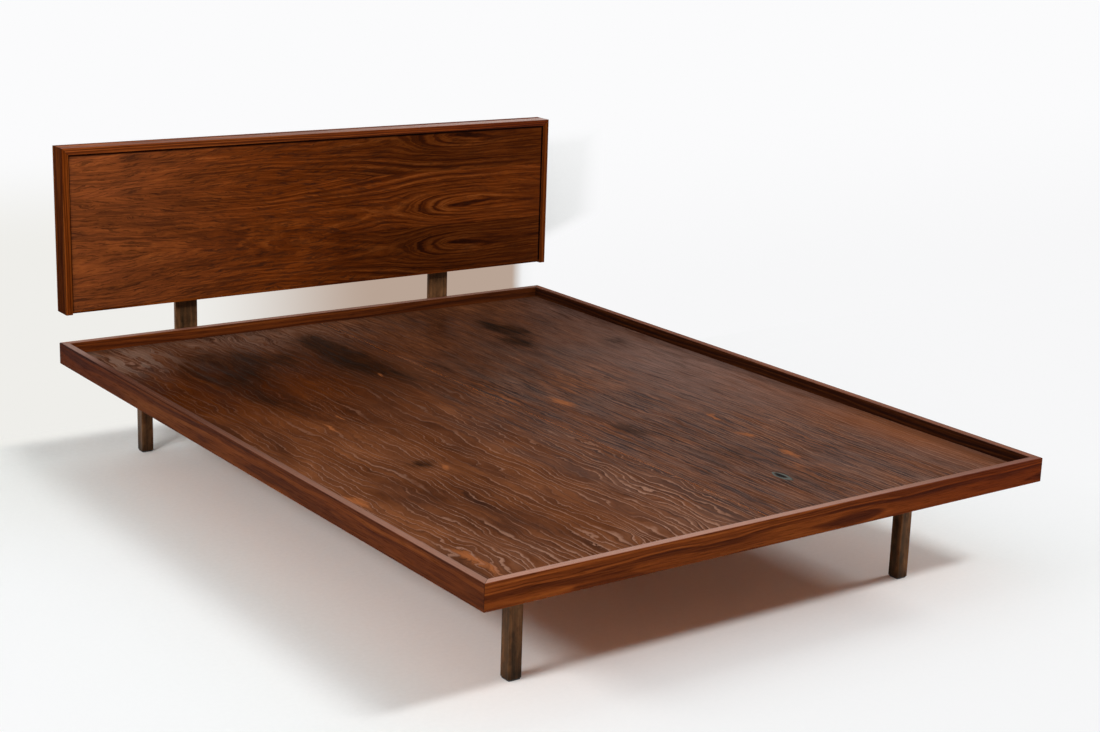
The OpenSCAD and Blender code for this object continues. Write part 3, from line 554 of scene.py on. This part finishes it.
def sawn_timber(name, along, pale, deep, seed):
    """Planed pine or poplar with its rings, for the pieces that nobody sees from above."""
    g = Graph(name)
    u, v, w = board_axes(g, along)
    slow = g.noise(u * 0.9 + seed, v * 4.0, w * 4.0) - 0.5
    radius = g.distance(v - TIMBER_PITH[0], w - TIMBER_PITH[1]) + slow * 0.05
    ring = g.math("FRACT", radius / TIMBER_RINGS)
    late = g.smooth(ring, 0.45, 0.93) * g.smooth(ring, 1.0, 0.95)
    streaks = g.noise(u * 8.0, v * 380.0, w * 380.0, 3.0, 0.6)
    colour = g.mix(g.clamp(late * 0.7 + streaks * 0.35 - 0.1), pale, deep)
    return g.finish(colour, 0.6, streaks + late * 0.5, 0.0003, Specular_IOR_Level=0.25)


def panel_back():
    """The panel's core, with a plain sliced veneer behind."""
    g = Graph("panel_back")
    bands = g.noise(g.x * 1.5, g.y * 30.0, g.z * 70.0, 3.0, 0.6)
    streaks = g.noise(g.x * 9.0, g.y * 380.0, g.z * 380.0, 3.0, 0.6)
    shade = g.clamp(bands * 0.6 + streaks * 0.4)
    colour = g.ramp(shade, (0.3, srgb(74, 42, 24)), (0.7, srgb(122, 78, 48)))
    return g.finish(colour, 0.6, streaks, 0.0003, Specular_IOR_Level=0.2)


# The patina from its darkest to its palest
PATINA_STOPS = (
    (0.25, srgb(32, 30, 20)), (0.42, srgb(62, 44, 27)), (0.58, srgb(98, 66, 40)), (0.80, srgb(136, 98, 62)),
)
# Heights, in metres, between which a leg's darkening towards the floor fades
FOOT_DARKENING = (0.004, 0.035)


def patina(name, along, seed, light=1.0):
    """Flat steel with a brown patina: long soft bands, dark blotches, darker low down, and scratches.
    light is how pale it is."""
    g = Graph(name)
    u, v, w = board_axes(g, along)
    bands = g.noise(u * 2.0 + seed, v * 110.0, w * 110.0, 3.0, 0.6)
    clouds = g.noise(u * 14.0 + seed, v * 30.0, w * 30.0, 3.0, 0.6)
    scratches = g.noise(u * 16.0, v * 900.0, w * 900.0)
    shade = g.clamp(bands * 0.55 + clouds * 0.35 + scratches * 0.18 - 0.04)
    blotches = g.noise(u * 24.0 + seed, v * 55.0, w * 55.0, 4.0, 0.68)
    level = g.smooth(blotches, 0.36, 0.62, 0.66, 1.24) * g.smooth(g.z, *FOOT_DARKENING, 0.50, 1.0) * light
    rough = g.smooth(clouds, 0.3, 0.7, 0.34, 0.55)
    colour = g.tone(g.ramp(shade, *PATINA_STOPS), level)
    return g.finish(colour, rough, scratches, 0.0001, Metallic=0.30, Specular_IOR_Level=0.1)


def plain_metal(name, low, high, metallic, smoothest):
    """Metal of fasteners, mottled between two colours. smoothest is its lowest roughness."""
    g = Graph(name)
    mottle = g.noise(g.x * 260.0, g.y * 260.0, g.z * 260.0, 3.0, 0.6)
    colour = g.ramp(mottle, (0.3, low), (0.7, high))
    rough = g.smooth(mottle, 0.3, 0.7, smoothest, smoothest + 0.2)
    return g.finish(colour, rough, mottle, 0.0001, Metallic=metallic)


def black_plastic():
    """Black plastic with a fine grain."""
    g = Graph("black_plastic")
    grain = g.noise(g.x * 1500.0, g.y * 1500.0, g.z * 1500.0)
    colour = g.ramp(grain, (0.3, srgb(18, 18, 18)), (0.7, srgb(32, 31, 30)))
    return g.finish(colour, 0.55, grain, 0.0002)


def walnut_boards():
    """The walnut rails, and the boards and battens of the headboard."""
    foot_joint, head_joint = ("xy", SIDE_X, FOOT_Y), ("xy", SIDE_X, HEAD_Y)
    top_joint = ("xz", BOARD_X, BOARD_TOP)
    # Node, grain, place of the pith across it, seed, paleness at its ends, and what is special to it
    # The paleness at the ends of the head rail, the left rail and the headboard's top board is partly
    # painted light and shade, for how the light falls along them
    boards = (
        ("foot_rail", "X", (FOOT_Y + 0.075, 0.285), 2.0, (1.04, 0.86), dict(
            joints=(foot_joint,), painted_sheen=((-0.3, 0.95, 1.13, 0.30),), rich=(-0.1, 0.8))),
        ("head_rail", "X", (HEAD_Y + 0.06, 0.27), 5.0, (1.00, 0.48), dict(
            joints=(head_joint,), painted_sheen=((-0.9, 0.5, 0.6, 0.5),))),
        ("left_rail", "Y", (-SIDE_X + 0.08, 0.29), 8.0, (0.58, 0.41), dict(
            joints=(foot_joint, head_joint), painted_sheen=((-0.9, 0.5, 0.72, 0.10), (0.66, 0.95, 0.0, 0.60)),
            rich=(0.4, 1.0))),
        # The right rail's inner face is darkened as painted shade
        ("right_rail", "Y", (SIDE_X - 0.07, 0.28), 14.0, (0.9, 0.9), dict(
            joints=(foot_joint, head_joint), painted_sheen=((-0.9, 0.5, 0.30, 0.20),), dark=("X", -1.0, 0.28))),
        ("headboard_top_board", "X", (1.02, 0.78), 21.0, (1.32, 0.98), dict(
            joints=(top_joint,), painted_sheen=((-0.8, 0.9, 0.2, 1.2),), rich=(-0.3, 0.8))),
        # The left board's outer face is darkened as painted shade
        ("headboard_left_board", "Z", (-0.70, 1.02), 25.0, (1.1, 1.1), dict(
            joints=(top_joint,), dark=("X", -1.0, 0.38))),
        ("headboard_right_board", "Z", (0.70, 1.02), 29.0, (0.88, 0.88), dict(joints=(top_joint,))),
        ("panel_lipping", "X", (1.05, 0.40), 33.0, (0.95, 0.95), {}),
        ("upper_batten", "X", (1.08, 0.60), 41.0, (0.95, 0.95), {}),
        ("lower_batten", "X", (1.08, 0.60), 41.0, (0.95, 0.95), {}),
    )
    return {
        node: solid_walnut(node, along, pith, seed, light, **special)
        for node, along, pith, seed, light, special in boards
    }


# The legs, and how pale each one is. The foot-right leg's extra paleness is painted light, for light it
# gets less of
LEGS = (("foot_left", 1.06), ("foot_right", 1.3), ("head_left", 1.06), ("head_right", 1.06))


def dress():
    """Gives every CAD node its finish."""
    finishes = walnut_boards()
    finishes.update({
        "lower_veneer_leaf": veneer("lower_veneer_leaf", LOWER_SEAM, 1.0, (1.20, 1.01, 0.50)),
        "middle_veneer_leaf": veneer("middle_veneer_leaf", None, 4.0, (1.14, 0.99, 0.85)),
        "upper_veneer_leaf": veneer("upper_veneer_leaf", UPPER_SEAM, 9.0, (1.35, 0.88, 0.62)),
        "left_deck_sheet": stained_deck("left_deck_sheet", LEFT_SHEET),
        "right_deck_sheet": stained_deck("right_deck_sheet", RIGHT_SHEET),
        "deck_patch": patch_wood(),
        "panel_core": panel_back(),
    })
    for node, along in (
        ("left_cleat", "Y"), ("right_cleat", "Y"), ("foot_cleat", "X"), ("head_cleats", "X"),
        ("post_spacers", "Z"), ("rail_splines", "Z"), ("headboard_splines", "Y"),
    ):
        finishes[node] = sawn_timber(node + "_poplar", along, *POPLAR, 3.0)
    for node, along in (
        ("foot_bearer", "X"), ("head_bearer", "X"), ("left_bearer", "Y"), ("right_bearer", "Y"),
        ("centre_bearer", "Y"), ("foot_left_noggin", "X"), ("foot_right_noggin", "X"),
        ("head_left_noggin", "X"), ("head_right_noggin", "X"), ("corner_blocks", "Z"),
    ):
        finishes[node] = sawn_timber(node + "_pine", along, *PINE, len(node) * 1.7)
    plastic = black_plastic()
    for seed, (corner, light) in enumerate(LEGS):
        finishes[corner + "_leg"] = patina(corner + "_leg_patina", "Z", seed * 3.1, light)
        finishes[corner + "_leg_plate"] = patina(corner + "_plate_patina", "X", seed * 5.3)
        finishes[corner + "_glide"] = plastic
    for seed, node in enumerate(("left_post", "right_post")):
        finishes[node] = patina(node + "_patina", "Z", 20.0 + seed * 7.0, 1.18)
    zinc = plain_metal("zinc", srgb(150, 152, 150), srgb(196, 196, 190), 1.0, 0.3)
    oxide = plain_metal("black_oxide", srgb(30, 29, 28), srgb(52, 49, 46), 0.8, 0.4)
    for node in (
        "cleat_rail_screws", "cleat_deck_screws", "frame_screws", "deck_brackets", "bracket_screws",
    ):
        finishes[node] = zinc
    for node in ("leg_screws", "batten_screws", "post_screws", "post_bolts", "post_washers", "post_nuts"):
        finishes[node] = oxide
    for node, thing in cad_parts.items():
        thing.data.materials.clear()
        thing.data.materials.append(finishes[node])


def camera():
    """The photograph's view."""
    azimuth, elevation, roll = map(math.radians, (CAMERA_AZIMUTH, CAMERA_ELEVATION, CAMERA_ROLL))
    flat = math.cos(elevation)
    back = Vector((math.sin(azimuth) * flat, -math.cos(azimuth) * flat, math.sin(elevation)))
    level = Vector((0, 0, 1)).cross(back).normalized()
    up = back.cross(level)
    right = level * math.cos(roll) + up * math.sin(roll)
    up = up * math.cos(roll) - level * math.sin(roll)
    data = bpy.data.cameras.new("camera")
    data.lens, data.sensor_width, data.shift_x = CAMERA_LENS, SENSOR_WIDTH, CAMERA_SHIFT
    eye = bpy.data.objects.new("camera", data)
    eye.matrix_world = Matrix.Translation(CAMERA_PLACE) @ Matrix((right, up, back)).transposed().to_4x4()
    bpy.context.scene.collection.objects.link(eye)
    bpy.context.scene.camera = eye


# The backdrop, in metres: the wall's y, the radius of the bend at its foot, how far that starts above
# the floor, and how far the sheets reach
WALL_Y, BEND, LIFT, REACH, BEND_STEPS = 1.30, 0.28, 0.0008, 14.0, 16
# The paper's matte white
PAPER = ((0.3, srgb(229, 232, 231)), (0.7, srgb(232, 235, 234)))
# The paper keeps all its shadows inside a box that stands on the floor: its half width, its middle and
# half length in y, and its height. Further out its own light takes over, at this rate per metre
SHADOW_X, SHADOW_Y, SHADOW_LENGTH, SHADOW_Z, FADE = 0.8, 0.32, 1.13, 0.42, -2.8
# Its own light on the floor, on the wall and far off, and the heights and the metres away between
# which it goes from one to the next
PLAIN_FLOOR, PLAIN_WALL, PLAIN_FAR = srgb(247, 247, 248), srgb(251, 251, 252), srgb(255, 255, 255)
PLAIN_RISE, PLAIN_AWAY = (0.1, 0.8), (4.0, 10.0)
# The y and the z between which the paper starts to count as wall
WALL_FROM, WALL_RISE = (1.06, 1.16), (0.010, 0.032)
# The wall behind the gap under the headboard gets painted light and shade, for the headboard's shadow and
# the wood's warm bounce: the z and the x between which that ends, the x between which it goes from its
# left to its right colour, and those two
GAP_TOP, GAP_END, GAP_CHANGE = (0.80, 0.50), (0.92, 0.87), (-0.31, 0.37)
GAP_PAINTED_LIGHT, GAP_PAINTED_SHADE = srgb(239, 238, 234), srgb(184, 163, 148)
# The x on the left, the x on the right and the z between which the headboard's shadow on the wall ends.
# Below LOW_END it ends nearer on the right, by LOW_SHIFT
CLEAR_LEFT, CLEAR_RIGHT, CLEAR_TOP = (-0.45, -0.68), (0.97, 1.24), (0.62, 0.78)
LOW_END, LOW_SHIFT = (0.50, 0.36), 0.26
# A painted soft grey shade low on the wall's left: the z, the x on its right and on its left, and the y
# between which it comes in
DIM_Z, DIM_RIGHT, DIM_LEFT, DIM_Y = (0.85, 0.35), (-0.2, -0.8), (-2.6, -1.2), (0.1, 1.1)
DIM_SHADE = srgb(240, 240, 236)


def paper():
    """White paper that keeps its shadows near the bed, is plain white to the eye further off, has painted
    light and shade on the wall behind and beside the headboard, and is seen through from behind and from
    below."""
    g = Graph("paper")
    x, y, z = g.x, g.y, g.z
    matte = g.node("ShaderNodeBsdfDiffuse")
    g.plug(matte.inputs["Color"], g.ramp(g.noise(x * 90.0, y * 90.0, z * 90.0), *PAPER))
    away = g.distance(
        g.most(g.size(x) - SHADOW_X, 0.0), g.most(g.size(y - SHADOW_Y) - SHADOW_LENGTH, 0.0),
        g.most(z - SHADOW_Z, 0.0),
    )
    wall = g.smooth(y, *WALL_FROM) * g.smooth(z, *WALL_RISE)
    gap = wall * g.smooth(z, *GAP_TOP) * g.smooth(x, *GAP_END)
    right_side = g.smooth(x + g.smooth(z, *LOW_END, 0.0, LOW_SHIFT), *CLEAR_RIGHT)
    clear = g.most(g.smooth(x, *CLEAR_LEFT) + right_side, g.smooth(z, *CLEAR_TOP))
    own_light = g.most(1.0 - g.math("EXPONENT", away * FADE), gap, wall * clear)
    dim = g.smooth(z, *DIM_Z) * g.smooth(x, *DIM_RIGHT) * g.smooth(x, *DIM_LEFT) * g.smooth(y, *DIM_Y)
    plain = g.mix(g.smooth(z, *PLAIN_RISE), PLAIN_FLOOR, PLAIN_WALL)
    plain = g.mix(g.smooth(away, *PLAIN_AWAY), plain, PLAIN_FAR)
    plain = g.mix(dim, plain, DIM_SHADE)
    # Painted light and shade on the wall behind the gap under the headboard
    painted_gap_shading = g.mix(g.smooth(x, *GAP_CHANGE), GAP_PAINTED_LIGHT, GAP_PAINTED_SHADE)
    glow = g.node("ShaderNodeEmission")
    g.plug(glow.inputs["Color"], g.mix(gap, plain, painted_gap_shading))
    front = g.mix_shaders(g.looked_at() * own_light, matte.outputs[0], glow.outputs[0])
    behind = g.node("ShaderNodeNewGeometry").outputs["Backfacing"]
    whole = g.mix_shaders(behind, front, g.node("ShaderNodeBsdfTransparent").outputs[0])
    g.plug(g.node("ShaderNodeOutputMaterial").inputs["Surface"], whole)
    return g.material


def stage_sheet(name, profile, finish):
    """A sheet of paper that follows a line of (y, z) points, over the stage's whole width."""
    points = [(x, y, z) for x in (-REACH, REACH) for y, z in profile]
    count = len(profile)
    mesh = bpy.data.meshes.new(name)
    mesh.from_pydata(points, [], [(i, count + i, count + i + 1, i + 1) for i in range(count - 1)])
    mesh.shade_smooth()
    mesh.materials.append(finish)
    sheet = bpy.data.objects.new(name, mesh)
    bpy.context.scene.collection.objects.link(sheet)


def studio():
    """A pale floor, and a backdrop that curves up from it behind the headboard."""
    finish = paper()
    stage_sheet("floor", [(-REACH, 0.0), (REACH, 0.0)], finish)
    turns = [math.pi / 2 * i / BEND_STEPS for i in range(BEND_STEPS + 1)]
    foot = [(WALL_Y - BEND + BEND * math.sin(turn), LIFT + BEND - BEND * math.cos(turn)) for turn in turns]
    stage_sheet("backdrop", foot + [(WALL_Y, REACH / 2)], finish)


def lamp(name, place, target, size, power):
    """A rectangular lamp that the camera doesn't see. Size in metres, power in watts."""
    data = bpy.data.lights.new(name, "AREA")
    data.shape, data.energy = "RECTANGLE", power
    data.size, data.size_y = size
    thing = bpy.data.objects.new(name, data)
    thing.location = place
    thing.rotation_euler = (Vector(target) - Vector(place)).to_track_quat("-Z", "Y").to_euler()
    thing.visible_camera = False
    bpy.context.scene.collection.objects.link(thing)


# The world's light on things, and how much brighter it is where it is looked at
WORLD_LIGHT, WORLD_WHITE = 0.17, 0.79


def lights():
    """A white world, three lamps in front and at the sides, and one that lights the headboard's back."""
    g = Graph("studio", world=True)
    background = g.node("ShaderNodeBackground")
    background.inputs["Color"].default_value = (1.0, 1.0, 1.0, 1.0)
    g.plug(background.inputs["Strength"], g.looked_at() * WORLD_WHITE + WORLD_LIGHT)
    g.plug(g.node("ShaderNodeOutputWorld").inputs["Surface"], background.outputs[0])
    bpy.context.scene.world = g.material
    # Place, target and size in metres, and power in watts
    lamp("front", (0.6, -3.8, 3.8), (0.0, -0.2, 0.2), (1.2, 0.4), 122.0)
    lamp("right", (3.4, -0.9, 2.2), (0.3, -0.4, 0.0), (0.8, 0.6), 46.0)
    lamp("left", (-3.4, -0.6, 2.1), (-0.4, 0.0, 0.2), (1.5, 0.5), 81.0)
    lamp("back", (0.0, 1.27, 0.62), (0.0, 0.0, 0.62), (1.5, 0.5), 1.3)


bpy.context.scene.view_settings.view_transform = "Standard"
camera()
studio()
lights()
dress()
